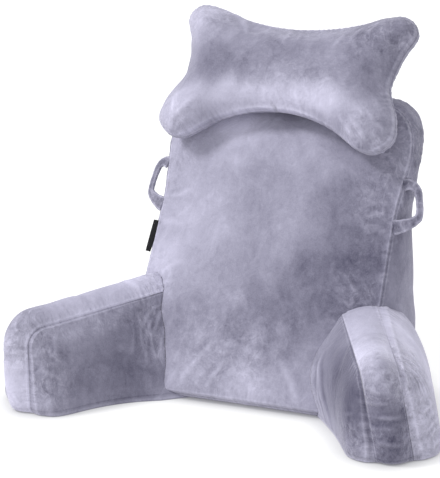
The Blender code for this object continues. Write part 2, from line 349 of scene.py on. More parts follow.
def folds(rows, u, v):
    # rows are start u, start v, end u, end v, width, height, bow; a height below 0 is a crease
    total = np.zeros(len(u))
    for u0, v0, u1, v1, width, height, bow in rows:
        length = sqrt((u1 - u0) ** 2 + (v1 - v0) ** 2)
        du, dv = (u1 - u0) / length, (v1 - v0) / length
        share = ((u - u0) * du + (v - v0) * dv) / length
        off = (v - v0) * du - (u - u0) * dv - bow * 4 * share * (1 - share)
        ends = np.clip(share * 5, 0, 1) * np.clip((1 - share) * 2.5, 0, 1)
        total += height * ends * ends * (3 - 2 * ends) * np.exp(-(off / width) ** 2)
    return total


def painted(rows, u, v):  # soft areas: u, v, radius along u, radius along v, value
    tone = np.zeros(len(u))
    for patchU, patchV, radiusU, radiusV, value in rows:
        reach = ((u - patchU) / radiusU) ** 2 + ((v - patchV) / radiusV) ** 2
        tone += value * np.exp(-reach ** 1.4)
    return tone


clothFinish = {
    "dragSize": 0.03,
    "dragGroups": 0.11,
    "dragDrawn": np.array((1, 1, 0.4)),  # drawn out up and down
    "wander": 0.016,
    "wanderSize": 0.045,
    "shoulder": (2.2, 0.55),  # how much wider and how high the painted shade on the sides of a fold is
    "ridgeHeight": 0.0025,
}


def finishCloth(piece, cover, split):
    # relief first, then how the pile lies, with light and shade painted over it, and how crumpled it is
    # (crush), panel by panel; the folds get a painted glint on their ridges and painted shade beside them
    s = clothFinish
    mesh = piece.data
    places = placesOf(mesh)
    seam, along = kept(mesh, "seam"), kept(mesh, "along")
    parts = split(kept(mesh, "panelU"), kept(mesh, "panelV"), kept(mesh, "across"))
    amount = seamRelief(seam, cover["seamed"]) + gathers(along, seam, cover["girth"], cover["gather"])
    drag = waves(places * s["dragDrawn"], s["dragSize"], cover["seed"])
    drag = drag * waves(places, s["dragGroups"], cover["seed"] + 1)
    amount += drag * cover["drag"] * np.clip(seam / 0.01, 0, 1)
    wander = s["wander"] * waves(places, s["wanderSize"], cover["seed"] + 2)
    reach = wander * 0.3
    napLightAndShade, crush, glintAndShade = np.zeros(len(places)), np.zeros(len(places)), np.zeros(len(places))
    broader, lower = s["shoulder"]
    for part, (where, u, v) in parts.items():
        rows = cover["folds"].get(part, ())
        wider = [(*ends, width * broader, height, bow) for *ends, width, height, bow in rows]
        raised = folds(rows, u + reach, v + reach)
        shoulders = lower * folds(wider, u + reach, v + reach)
        amount += np.where(where, raised, 0)
        # the ridges of the folds get a painted glint and their sides painted shade
        glintAndShade += np.where(where, raised - shoulders, 0) / s["ridgeHeight"]
        napLightAndShade = np.where(where, painted(cover["napLightAndShade"].get(part, ()), u + wander, v - wander), napLightAndShade)
        crush = np.where(where, painted(cover["crush"].get(part, ()), u - wander, v + wander), crush)
    movePoints(mesh, places + normalsOf(mesh) * amount[:, None])
    keep(mesh, "napLightAndShade", napLightAndShade)
    keep(mesh, "glintAndShade", np.clip(glintAndShade, -1, 1.5))
    keep(mesh, "crush", np.clip(crush, -0.4, 1.5))
    return piece


# backrest

backSizes = {
    "height": 0.543,
    "lean": 0.58,
    "baseDepth": 0.28,
    "spread": 0.031,
    "spreadHeight": 0.12,
    "topDepth": 0.055,
    "outline": ((0.02, 0.266, 0.02), (0.35, 0.256, 0.3), (0.66, 0.251, 0.3), (0.83, 0.261, 0.08),
                (1, 0.258, 0.078)),  # share of the height, half width, corner radius
    "frontCrown": 0.032,
    "rearCrown": 0.027,
    "wallCrowns": (0.016, 0.004),  # at the foot and at the top
    "wallHeights": (0.2, 0.42),  # between which the wall's crown changes
    "undersideCrown": 0.05,
    "fillReaches": (0.2, 0.12, 0.1),  # from the sides, the top and the floor
    "fullness": 0.6,
    "bend": 0.04,  # where the rear turns from upright to leaning
    "cuts": (78, 76, 26),
    "floorRound": 0.004,
}
backCover = {
    "cloth": {"pressure": 2.5, "spare": 0.012, "stiffness": 12, "bending": 0.4,
              "stir": 0.0015, "stirSize": 0.05, "evened": 6, "seed": 3},
    "seamed": (0.0004, 0.0012, 0.002),  # the groove's depth and width, the welts' width
    "gather": {"spacing": 0.014, "depth": 0.0009, "length": 0.009, "seed": 11},
    "drag": 0.0016,
    "girth": 2.14,
    "seed": 21,
    "folds": {
        "front": (
            (-0.24, 0.19, -0.15, 0.235, 0.005, 0.0014, 0.006),
            (-0.24, 0.175, -0.16, 0.195, 0.004, 0.0014, 0.005),
            (-0.24, 0.16, -0.175, 0.13, 0.004, 0.0014, -0.006),
            (-0.235, 0.15, -0.19, 0.095, 0.004, 0.0013, -0.006),
            (0.238, 0.185, 0.16, 0.245, 0.005, 0.0011, -0.006),
            (0.232, 0.165, 0.15, 0.205, 0.004, 0.0011, -0.005),
            (0.225, 0.14, 0.15, 0.16, 0.004, 0.001, -0.004),
            (-0.12, 0.014, -0.04, 0.11, 0.007, 0.002, 0.006),
            (-0.06, 0.014, -0.01, 0.085, 0.006, 0.0016, 0.004),
            (0.15, 0.014, 0.06, 0.095, 0.007, 0.0018, -0.006),
            (-0.246, 0.3, -0.18, 0.29, 0.006, 0.0014, 0.003),
            (-0.246, 0.345, -0.175, 0.36, 0.005, 0.0014, -0.003),
            (0.246, 0.32, 0.18, 0.335, 0.006, 0.0018, 0.003),
            (0.246, 0.375, 0.19, 0.37, 0.005, 0.0014, 0.003),
        ),
        "rear": (
            (-0.2, 0.02, -0.1, 0.2, 0.01, 0.0024, 0.012),
            (0.21, 0.02, 0.12, 0.18, 0.01, 0.0024, -0.012),
            (-0.22, 0.5, -0.12, 0.4, 0.008, 0.002, -0.008),
            (0.22, 0.5, 0.1, 0.41, 0.008, 0.002, 0.008),
            (-0.02, 0.02, 0.02, 0.14, 0.009, 0.0016, 0.006),
        ),
    },
    # the nap's areas also carry painted light and shade: the front lighter on the left and darker on the
    # right, the side walls darker
    "napLightAndShade": {
        "front": (
            (-0.24, 0.34, 0.14, 0.22, 0.3),
            (-0.17, 0.12, 0.09, 0.07, -0.12),
            (-0.22, 0.21, 0.06, 0.06, 0.5),
            (0.17, 0.35, 0.1, 0.16, -0.42),
            (0.24, 0.21, 0.16, 0.11, -0.66),
            (0.09, 0.16, 0.1, 0.1, -0.58),
            (-0.05, 0.11, 0.08, 0.05, -0.25),
            (-0.03, 0.04, 0.1, 0.05, 0.15),
            (0.1, 0.03, 0.1, 0.03, 0.1),
            (-0.02, 0.45, 0.16, 0.06, 0.25),
            # a lighter patch that thins the neck pillow's cast shadow on the back: painted light
            (-0.13, 0.49, 0.1, 0.04, 1.15),
            (0.22, 0.47, 0.08, 0.08, -0.2),
        ),
        "side": ((0, 0.24, 1, 0.26, -0.58), (0, 0.46, 1, 0.08, -0.35)),
        "rear": (
            (-0.1, 0.3, 0.12, 0.16, -0.3),
            (0.14, 0.12, 0.12, 0.12, 0.25),
            (0, 0.48, 0.2, 0.06, 0.2),
        ),
    },
    "crush": {
        "front": (
            (-0.03, 0.07, 0.12, 0.08, 0.6),
            (-0.22, 0.16, 0.05, 0.06, 0.7),
            (0.22, 0.18, 0.05, 0.07, 0.6),
            (0.23, 0.48, 0.05, 0.07, 0.8),
            (-0.23, 0.42, 0.05, 0.1, 0.45),
            (0.22, 0.36, 0.05, 0.08, 0.5),
        ),
        "side": ((0, 0.45, 1, 0.12, 0.6),),
        "rear": ((-0.15, 0.1, 0.1, 0.1, 0.6), (0.17, 0.42, 0.08, 0.1, 0.6)),
    },
}


slope = sqrt(1 + backSizes["lean"] ** 2)
forward = np.array((0, -1, backSizes["lean"])) / slope  # straight out of the front


def frontY(v):
    spread = np.clip(1 - v / backSizes["spreadHeight"], 0, None) ** 2
    return -backSizes["baseDepth"] / 2 + backSizes["lean"] * v - backSizes["spread"] * spread


def rearY(v):
    upright = backSizes["baseDepth"] / 2
    leaning = frontY(v) + backSizes["topDepth"]
    return (upright + leaning + np.sqrt((upright - leaning) ** 2 + backSizes["bend"] ** 2)) / 2


def halfWidth(v):
    rows = backSizes["outline"]
    return np.interp(v, [row[0] * backSizes["height"] for row in rows], [row[1] for row in rows])


def makeBackrest():
    s = backSizes
    right = [(half, share * s["height"], radius) for share, half, radius in s["outline"]]
    left = [(-u, v, radius) for u, v, radius in reversed(right)]

    def fill(u, v, distance):
        gaps = (halfWidth(v) - np.abs(u), s["height"] - v, v)
        sides, top, foot = (bulge(gap, reach, s["fullness"]) for gap, reach in zip(gaps, s["fillReaches"]))
        return np.where(distance > 0, sides * top * foot, 0)[:, None]

    def near(u, v, distance):
        return np.stack([u, frontY(v), v], axis=1) + forward * s["frontCrown"] * fill(u, v, distance)

    def far(u, v, distance):
        return np.stack([u, rearY(v), v], axis=1) + np.array((0, s["rearCrown"], 0)) * fill(u, v, distance)

    def wall(flat, normal, share):
        u, v = flat[:, 0], flat[:, 1]
        below = np.clip(-normal[:, 1], 0, None)
        crown = np.interp(v, s["wallHeights"], s["wallCrowns"])
        crown += (s["undersideCrown"] - crown) * below
        crown = crown * (1 - (2 * share - 1) ** 4)
        y = frontY(v) * (1 - share) + rearY(v) * share
        return np.stack([u + normal[:, 0] * crown, y, v + normal[:, 1] * crown], axis=1)

    corners = [(-0.262, 0.011), (0.262, 0.011), (0.24, s["height"] - 0.025), (-0.24, s["height"] - 0.025)]
    piece = sewnForm("backrestCover", roundedOutline(right + left), corners, s["cuts"], near, far, wall)
    inflated(piece, backCover["cloth"])
    softer(piece)
    finishCloth(piece, backCover, lambda u, v, across: {
        "front": (across < 0.01, u, v),
        "side": ((across >= 0.01) & (across <= 0.99), u * 0, v),
        "rear": (across > 0.99, u, v),
    })
    return onFloor(piece, s["floorRound"])


# arms

armSizes = {
    "strip": 0.07,
    "height": 0.172,
    "rootHeight": 0.182,
    "tipRadius": 0.034,
    "length": 0.32,
    "root": 0.16,  # the length that is hidden in the backrest
    "below": 0.06,  # and the height that is cut off by the floor
    "hiddenRadii": (0.03, 0.05),
    "toe": (0.015, 0.04),  # height and radius
    "bank": 0.014,
    "tipReach": 0.07,
    "toeRise": 0.05,
    "innerFullness": 0.65,
    "flare": 1.1,
    "tuckHeight": 0.09,
    "tuckFrom": (0.3, 0.43),  # shares of the length: where the tuck starts, and over which it grows
    "outerReach": 0.14,
    "outerFullness": 0.48,
    "footTuck": (0.16, 0.06),  # of the outer panel at the floor: how much, up to which height
    "turnsIn": (0.85, 0.35, 0.1),  # of the outer panel into the side wall: how much, from where, over
    "stripLow": (0.15, 0.08),  # the strip's crown at the floor, and the height where it is full
    "cuts": (104, 54, 16),
    "floorRound": 0.005,
}
armCover = {
    "cloth": {"pressure": 2.8, "spare": 0.016, "stiffness": 10, "bending": 0.3,
              "stir": 0.0016, "stirSize": 0.035, "evened": 14},
    "seamed": (0.0003, 0.001, 0.0018),
    "gather": {"spacing": 0.013, "depth": 0.0009, "length": 0.008},
    "drag": 0.0018,
    "girth": 1.4,
}
armLeft = {
    "name": "armLeftCover",
    "side": -1,
    "tip": (0.3825, -0.3278),
    "splay": 27,
    "lean": 0.008,
    "seed": 5,
    "innerCrowns": (0.046, 0.121),  # at the tip and at the root
    "outerCrowns": (0.06, 0.078),
    "stripCrowns": (0.031, 0.021),
    "tuck": 0.024,
    "folds": {
        "inner": (
            (-0.318, 0.16, -0.235, 0.12, 0.004, 0.0016, 0.01),
            (-0.318, 0.15, -0.245, 0.085, 0.004, 0.0016, 0.01),
            (-0.312, 0.135, -0.255, 0.05, 0.004, 0.0014, 0.008),
            (-0.285, 0.15, -0.225, 0.06, 0.0036, 0.0014, 0.008),
            (-0.27, 0.15, -0.245, 0.02, 0.0036, 0.0014, 0.004),
            (-0.252, 0.16, -0.228, 0.06, 0.0036, 0.0016, 0.003),
            (-0.236, 0.16, -0.205, 0.07, 0.004, 0.0012, 0.003),
            (-0.06, 0.16, -0.045, 0.11, 0.006, 0.0018, 0.003),
            (-0.03, 0.14, -0.06, 0.1, 0.005, 0.0018, 0.003),
            (-0.012, 0.1, -0.05, 0.075, 0.005, 0.0016, 0.003),
        ),
        "outer": (
            (-0.03, 0.15, -0.09, 0.06, 0.008, 0.0026, 0.01),
            (-0.12, 0.16, -0.17, 0.05, 0.009, 0.0024, 0.01),
            (-0.22, 0.17, -0.27, 0.06, 0.01, 0.0026, 0.01),
            (-0.3, 0.16, -0.26, 0.02, 0.009, 0.0024, -0.01),
        ),
        "strip": (
            (-0.15, -0.036, -0.14, 0.036, 0.01, -0.0016, 0.003),
            (-0.275, -0.036, -0.25, 0.036, 0.008, 0.0018, 0.004),
            (0.04, -0.036, 0.046, 0.02, 0.005, 0.0018, 0.003),
            (0.075, -0.036, 0.07, 0.036, 0.006, 0.0016, 0.003),
        ),
    },
    # the nap's areas also carry painted light and shade: the top and the front end lighter where the light
    # falls, the inner panel darker
    "napLightAndShade": {
        "inner": (
            (-0.17, 0.08, 0.15, 0.1, -0.75),
            (-0.01, 0.06, 0.05, 0.1, 0.05),
            (-0.1, 0, 0.2, 0.02, -0.15),
            (-0.29, 0.07, 0.06, 0.12, 0.26),
        ),
        "outer": ((-0.12, 0.1, 0.1, 0.08, 0.25), (-0.25, 0.08, 0.08, 0.1, -0.2)),
        "strip": (
            (-0.16, 0.18, 0.2, 0.1, 0.75),
            (-0.3, 0.18, 0.07, 0.1, 0.68),
            (0, 0.05, 0.1, 0.075, 1.3),
            (-0.03, 0.165, 0.05, 0.03, -0.35),
        ),
    },
    "crush": {
        "inner": (
            (-0.02, 0.08, 0.05, 0.1, 0.8),
            (-0.28, 0.12, 0.05, 0.08, 0.8),
            (-0.15, 0.16, 0.2, 0.02, 0.4),
        ),
        "outer": ((-0.08, 0.06, 0.1, 0.08, 0.6), (-0.28, 0.1, 0.06, 0.09, 0.6)),
        "strip": (
            (0, 0.14, 0.06, 0.05, 1.2),
            (-0.31, 0.18, 0.04, 0.1, 1),
            (0, 0.03, 0.1, 0.03, 0.4),
        ),
    },
}
armRight = {
    "name": "armRightCover",
    "side": 1,
    "tip": (0.395, -0.313),
    "splay": 28.5,
    "lean": 0.026,
    "seed": 9,
    "innerCrowns": (0.044, 0.122),
    "outerCrowns": (0.053, 0.078),
    "stripCrowns": (0.028, 0.004),
    "tuck": -0.006,
    "folds": {
        "inner": (
            (-0.262, 0.13, -0.195, -0.005, 0.007, 0.004, 0.008),
            (-0.238, 0.105, -0.17, -0.01, 0.0065, 0.0036, 0.006),
            (-0.212, 0.07, -0.15, -0.01, 0.006, 0.0026, 0.005),
            (-0.012, 0.1, -0.045, 0.085, 0.0045, 0.0012, 0.002),
        ),
        "outer": (
            (-0.03, 0.168, -0.018, 0.108, 0.0035, 0.0026, 0.004),
            (-0.042, 0.168, -0.028, 0.1, 0.0035, 0.003, 0.005),
            (-0.055, 0.168, -0.04, 0.092, 0.0035, 0.003, 0.006),
            (-0.069, 0.17, -0.056, 0.098, 0.0038, 0.0026, 0.006),
            (-0.086, 0.17, -0.072, 0.105, 0.0042, 0.0022, 0.006),
            (-0.108, 0.172, -0.094, 0.11, 0.005, 0.0018, 0.006),
            (-0.008, 0.112, -0.05, 0.1, 0.004, 0.0026, 0.008),
            (-0.008, 0.092, -0.07, 0.084, 0.0045, 0.0028, -0.01),
            (-0.008, 0.072, -0.06, 0.07, 0.0045, 0.0028, -0.01),
            (-0.008, 0.054, -0.075, 0.054, 0.0045, 0.003, -0.01),
            (-0.01, 0.038, -0.06, 0.042, 0.004, 0.0026, -0.008),
            (-0.01, 0.022, -0.07, 0.026, 0.004, 0.0024, -0.006),
            (-0.16, 0.16, -0.11, 0.08, 0.008, 0.0024, 0.008),
            (-0.25, 0.16, -0.19, 0.07, 0.009, 0.0024, 0.008),
        ),
        "strip": (
            (-0.012, -0.036, 0.002, 0.02, 0.004, 0.0014, -0.003),
            (0.01, -0.02, -0.002, 0.036, 0.004, 0.0016, 0.002),
            (0.02, -0.036, 0.028, 0.034, 0.004, 0.0018, -0.003),
            (0.034, -0.01, 0.036, 0.036, 0.0035, 0.0018, 0.002),
            (0.048, -0.034, 0.044, 0.01, 0.0045, 0.002, 0.003),
            (0.072, -0.03, 0.078, 0.036, 0.005, 0.002, 0.003),
            (0.1, -0.036, 0.096, 0.02, 0.0045, 0.0016, 0.003),
            (0.125, -0.03, 0.13, 0.036, 0.005, 0.0018, 0.003),
            (-0.165, -0.036, -0.16, 0.02, 0.005, -0.0009, 0.003),
            (-0.062, -0.034, -0.066, 0.02, 0.004, -0.0006, 0.003),
        ),
    },
    # the nap's areas also carry painted light and shade: the top lighter, the front end and the inner panel
    # darker, the outer panel lighter as painted sheen
    "napLightAndShade": {
        "inner": (
            (-0.13, 0.115, 0.22, 0.085, -1.3),
            (-0.04, 0.02, 0.08, 0.05, -0.25),
            (-0.25, 0.06, 0.06, 0.09, 0.65),
        ),
        "outer": (
            (-0.06, 0.03, 0.12, 0.05, 0.6),
            (-0.05, 0.1, 0.1, 0.05, 0.6),
            (-0.2, 0.13, 0.14, 0.09, 1.45),
            (-0.03, 0.14, 0.05, 0.02, 0.1),
        ),
        "strip": (
            (-0.2, 0.18, 0.16, 0.1, 0.72),
            (-0.08, 0.18, 0.05, 0.04, 0.95),
            (0, 0.03, 0.1, 0.09, -1.02),
            (0, 0.12, 0.06, 0.04, -0.55),
        ),
    },
    "crush": {
        "inner": (
            (-0.04, 0.03, 0.06, 0.06, 1),
            (-0.26, 0.05, 0.04, 0.07, 0.8),
            (-0.14, 0.12, 0.14, 0.08, -0.6),
        ),
        "outer": ((-0.05, 0.06, 0.1, 0.1, 1.6), (-0.08, 0.14, 0.1, 0.05, 1.4)),
        "strip": (
            (-0.01, 0.15, 0.05, 0.035, 1),
            (0, 0.04, 0.1, 0.05, 0.5),
            (-0.1, 0.175, 0.04, 0.05, 0.4),
        ),
    },
}


def makeArm(arm):
    s = armSizes
    side = arm["side"]
    angle = radians(arm["splay"])
    ahead = np.array((side * sin(angle), -cos(angle), 0))
    outer = np.array((side * cos(angle), sin(angle), 0))
    upward = np.array((0, 0, 1))
    tip = np.array((side * arm["tip"][0], arm["tip"][1], 0))
    rise = (s["rootHeight"] - s["height"]) / s["length"]
    end = s["length"] + s["root"]
    low, high = s["hiddenRadii"]
    outline = roundedOutline([
        (-end, -s["below"], low),
        (-low, -s["below"], low),
        (0, *s["toe"]),
        (0, s["height"], s["tipRadius"]),
        (-end, s["height"] + rise * end, high),
    ])

    def rooted(u):
        return np.clip(-u / s["length"], 0, 1)

    def between(pair, share):
        return pair[0] + (pair[1] - pair[0]) * share

    def slack(u, v, across):
        raised = np.clip(v / s["height"], 0, None)
        bank = s["bank"] * rooted(u) * (across / s["strip"] + 0.5)
        return (tip + ahead * u[:, None] + outer * (across - arm["lean"] * raised)[:, None]
                + upward * (v + bank * raised)[:, None])

    def fromTip(u, v, distance):  # near the floor the seam runs back, so its own distance counts there
        upper = np.clip(v / s["toeRise"], 0, 1)
        return bulge(-u * upper + distance * 2 * (1 - upper), s["tipReach"], 0.5)

    def near(u, v, distance):
        below = s["height"] - rise * u - v
        fill = between(arm["innerCrowns"], rooted(u) ** 2.5)
        fullness = s["innerFullness"] + s["flare"] * rooted(u) ** 3
        fill = fill * bulge(below, s["height"], fullness) * fromTip(u, v, distance)
        start, grown = s["tuckFrom"]
        tuck = arm["tuck"] * np.clip((rooted(u) - start) / grown, 0, 1) ** 2
        tuck = tuck * (1 - 1.5 * np.clip(v / s["tuckHeight"], 0, 1) ** 0.8)  # in at the floor, out above it
        fill += tuck * np.clip(below / 0.03, 0, 1)
        return slack(u, v, u * 0 - s["strip"] / 2) - outer * np.where(distance > 0, fill, 0)[:, None]

    def far(u, v, distance):
        fill = between(arm["outerCrowns"], rooted(u))
        fill = fill * bulge(s["height"] - rise * u - v, s["outerReach"], s["outerFullness"])
        most, height = s["footTuck"]
        fill = fill * fromTip(u, v, distance) * (1 - most + most * bulge(v, height, 0.5))
        most, start, over = s["turnsIn"]
        fill = fill * (1 - most * np.clip((-u - start) / over, 0, 1) ** 1.5)
        return slack(u, v, u * 0 + s["strip"] / 2) + outer * np.where(distance > 0, fill, 0)[:, None]

    def wall(flat, normal, share):
        u, v = flat[:, 0], flat[:, 1]
        least, height = s["stripLow"]
        crown = between(arm["stripCrowns"], rooted(u)) * 4 * share * (1 - share)
        crown = crown * (least + (1 - least) * bulge(v, height, 0.5))
        places = slack(u, v, s["strip"] * (share - 0.5))
        return places + ahead * (normal[:, 0] * crown)[:, None] + upward * (normal[:, 1] * crown)[:, None]

    corners = [(-end, -s["below"]), (-0.015, -0.02), (0, s["height"]), (-end, s["height"] + rise * end)]
    piece = sewnForm(arm["name"], outline, corners, s["cuts"], near, far, wall)
    inflated(piece, dict(armCover["cloth"], seed=arm["seed"]))
    softer(piece)
    # on the strip, folds are placed by the way down from its upper front end, and across it
    rows = {"run" if part == "strip" else part: found for part, found in arm["folds"].items()}
    cover = dict(armCover, gather=dict(armCover["gather"], seed=arm["seed"] + 2), seed=arm["seed"] + 20,
                 folds=rows, napLightAndShade=arm["napLightAndShade"], crush=arm["crush"])

    def split(u, v, across):
        onStrip = (across > 0.01) & (across < 0.99)
        return {
            "inner": (across <= 0.01, u, v),
            "outer": (across >= 0.99, u, v),
            "run": (onStrip, u + s["height"] - rise * u - v, (across - 0.5) * s["strip"]),
            "strip": (onStrip, u, v),
        }

    finishCloth(piece, cover, split)
    return onFloor(piece, s["floorRound"])


# neck pillow

neckSizes = {
    "middle": 0.657,
    "lower": ((0, 0.08), (0.06, 0.086), (0.125, 0.108), (0.185, 0.144), (0.222, 0.146), (0.252, 0.115),
              (0.246, 0.068), (0.226, 0.028)),  # half width, drop from the middle
    "upper": ((0.219, 0), (0.23, 0.06), (0.248, 0.108), (0.225, 0.141), (0.18, 0.138), (0.12, 0.117),
              (0.06, 0.105), (0, 0.102)),  # half width, rise from the middle
    "shift": (-0.01, -0.006),  # sideways, of the lower and the upper lobes
    "frontCrown": 0.06,
    "rearCrown": 0.045,
    "round": 0.085,
    "standOff": 0.046,
    "tilt": 0.12,
    "seamWidth": 0.004,
    "seamForward": (0.014, 0.08, 0.17),  # how far, growing down to this depth, within this half width
    "edgePoints": 260,
    "cuts": (92, 60, 1),
    "crowding": 1.2,
}
neckCover = {
    "cloth": {"pressure": 2.8, "spare": 0.018, "stiffness": 10, "bending": 0.3,
              "stir": 0.0016, "stirSize": 0.04, "evened": 8, "seed": 17},
    "seamed": (0.0005, 0.0012, 0.002),
    "gather": {"spacing": 0.013, "depth": 0.001, "length": 0.009, "seed": 31},
    "drag": 0.0018,
    "girth": 1.48,
    "seed": 41,
    "folds": {
        "front": (
            (-0.02, 0.098, -0.01, 0.04, 0.005, 0.002, 0.003),
            (0.01, 0.098, 0.012, 0.05, 0.0045, 0.0018, 0.003),
            (0.11, 0.11, 0.095, 0.04, 0.0055, 0.002, 0.004),
            (0.14, 0.118, 0.12, 0.06, 0.005, 0.0018, 0.004),
            (0.165, 0.12, 0.15, 0.07, 0.005, 0.002, 0.004),
            (-0.13, 0.11, -0.09, 0.07, 0.0055, 0.002, 0.004),
            (-0.16, 0.125, -0.11, 0.09, 0.005, 0.002, 0.004),
            (-0.03, -0.078, -0.02, -0.04, 0.005, 0.0014, 0.002),
            (0.05, -0.08, 0.04, -0.045, 0.005, 0.0014, 0.002),
            (-0.225, -0.135, -0.16, -0.07, 0.006, 0.0018, 0.004),
            (-0.25, -0.1, -0.19, -0.06, 0.005, 0.0016, 0.004),
            (0.205, -0.14, 0.16, -0.075, 0.006, 0.002, 0.004),
            (0.175, -0.135, 0.14, -0.085, 0.005, 0.0018, 0.004),
            (0.235, -0.11, 0.19, -0.07, 0.005, 0.0016, 0.004),
        ),
        "rear": (
            (-0.05, 0.1, -0.04, 0.03, 0.006, 0.0018, 0.003),
            (0.08, -0.09, 0.06, -0.02, 0.006, 0.0018, 0.003),
        ),
    },
    # the nap's areas also carry painted light and shade: the lower part and the upper left lobe lighter, the
    # upper right and the middle darker
    "napLightAndShade": {
        "front": (
            (-0.1, -0.065, 0.11, 0.035, 0.75),
            (0.05, -0.06, 0.12, 0.03, 1.05),
            (0.17, -0.11, 0.06, 0.04, 0.15),
            (-0.22, -0.11, 0.06, 0.05, 0.75),
            (-0.22, 0.11, 0.05, 0.05, 0.9),
            (0.2, 0.08, 0.08, 0.08, -0.5),
            (0.18, -0.02, 0.07, 0.05, -0.1),
            (0, 0.03, 0.18, 0.045, -0.32),
            (-0.14, 0, 0.07, 0.05, -0.45),
        ),
        "rear": ((0, 0, 0.2, 0.08, -0.35),),
    },
    "crush": {
        "front": (
            (0.17, 0.1, 0.09, 0.06, 0.8),
            (-0.2, 0.12, 0.07, 0.05, 0.7),
            (-0.22, -0.12, 0.05, 0.05, 0.7),
            (0.2, -0.12, 0.05, 0.05, 0.8),
            (0.03, -0.03, 0.12, 0.05, 0.45),
            (-0.01, 0.08, 0.05, 0.04, 0.5),
        ),
        "rear": ((0.1, 0.05, 0.1, 0.06, 0.6),),
    },
}


def makeNeckPillow():
    s = neckSizes
    right = [Vector((u, -v)) for u, v in s["lower"]] + [Vector(row) for row in s["upper"]]
    left = [Vector((-point.x, point.y)) for point in reversed(right[1:-1])]
    deepest = max(drop for _, drop in s["lower"])
    corners = right + left
    for point in corners:
        low = min(1, max(0, 0.5 - point.y / deepest))
        point.x += s["shift"][0] * low + s["shift"][1] * (1 - low)
    outline = splined(corners)
    upright = np.array((0, backSizes["lean"], 1)) / slope
    middle = np.array((0, -backSizes["baseDepth"] / 2, 0)) + upright * s["middle"] + forward * s["standOff"]
    edge, girth = evenly(outline, s["edgePoints"])

    def slack(u, v):  # the seam comes forward along the lower edge
        most, depth, half = s["seamForward"]
        pulled = most * np.clip(-v / depth, 0, 1) * np.exp(-(u / half) ** 4)
        return (middle + np.array((1, 0, 0)) * u[:, None] + upright * v[:, None]
                + forward * (pulled - s["tilt"] * v)[:, None])

    def fill(u, v, distance):  # the wider it is around a point, the further it stands out
        apart = np.linalg.norm(np.stack([u, v], axis=1)[:, None, :] - edge[None, :, :], axis=2)
        pull = (girth / len(edge) / np.maximum(0.0001, apart) ** 4).sum(axis=1)
        return np.where(distance > 0, bulge((pi / 2 / pull) ** (1 / 3), s["round"], 0.5), 0)[:, None]

    def near(u, v, distance):
        return slack(u, v) + forward * (s["frontCrown"] * fill(u, v, distance) + s["seamWidth"] / 2)

    def far(u, v, distance):
        return slack(u, v) - forward * (s["rearCrown"] * fill(u, v, distance) + s["seamWidth"] / 2)

    def wall(flat, normal, share):
        return slack(flat[:, 0], flat[:, 1]) + forward * (s["seamWidth"] * (0.5 - share))[:, None]

    lobes = [(-0.252, -0.135), (0.222, -0.138), (0.240, 0.128), (-0.240, 0.128)]
    piece = sewnForm("neckPillowCover", outline, lobes, s["cuts"], near, far, wall, s["crowding"])
    inflated(piece, neckCover["cloth"])
    softer(piece)
    return finishCloth(piece, neckCover, lambda u, v, across: {
        "front": (across < 0.3, u, v),
        "rear": (across >= 0.3, u, v),
    })


# loops and tag

loopSizes = {
    "stations": (  # out, up, width, thickness
        (-0.0015, 0.469, 0.026, 0.005),
        (0.006, 0.472, 0.024, 0.005),
        (0.019, 0.469, 0.02, 0.006),
        (0.031, 0.459, 0.017, 0.007),
        (0.037, 0.445, 0.015, 0.008),
        (0.042, 0.429, 0.014, 0.008),
        (0.047, 0.413, 0.015, 0.007),
        (0.047, 0.4, 0.017, 0.007),
        (0.034, 0.391, 0.021, 0.006),
        (0.016, 0.386, 0.026, 0.005),
        (0.006, 0.384, 0.03, 0.005),
        (-0.0015, 0.383, 0.031, 0.005),
    ),
}
tagSizes = {
    "flat": (0.066, 0.018),
    "stations": (
        (-0.0015, 0.314, 0.066, 0.0015),
        (0.002, 0.314, 0.066, 0.0015),
        (0.009, 0.314, 0.066, 0.0015),
        (0.017, 0.313, 0.066, 0.0015),
    ),
}
strapLook = {
    "turn": 26,  # towards the rear
    "cutsAcross": 5,
    "thinEdge": 0.35,
    "napLightAndShade": (0.3, 1.7, -0.45),  # height, pace and middle of its changes along the strap; the middle below 0 is painted shade that darkens the strap
    "glintAndShade": (1.1, -0.3),  # painted glint at the edges and painted shade in the middle
    "creases": (0.009, 0.004),
    "stitches": (0.0006, 0.0028, 0.0008),  # depth, distance from the edge, width
}


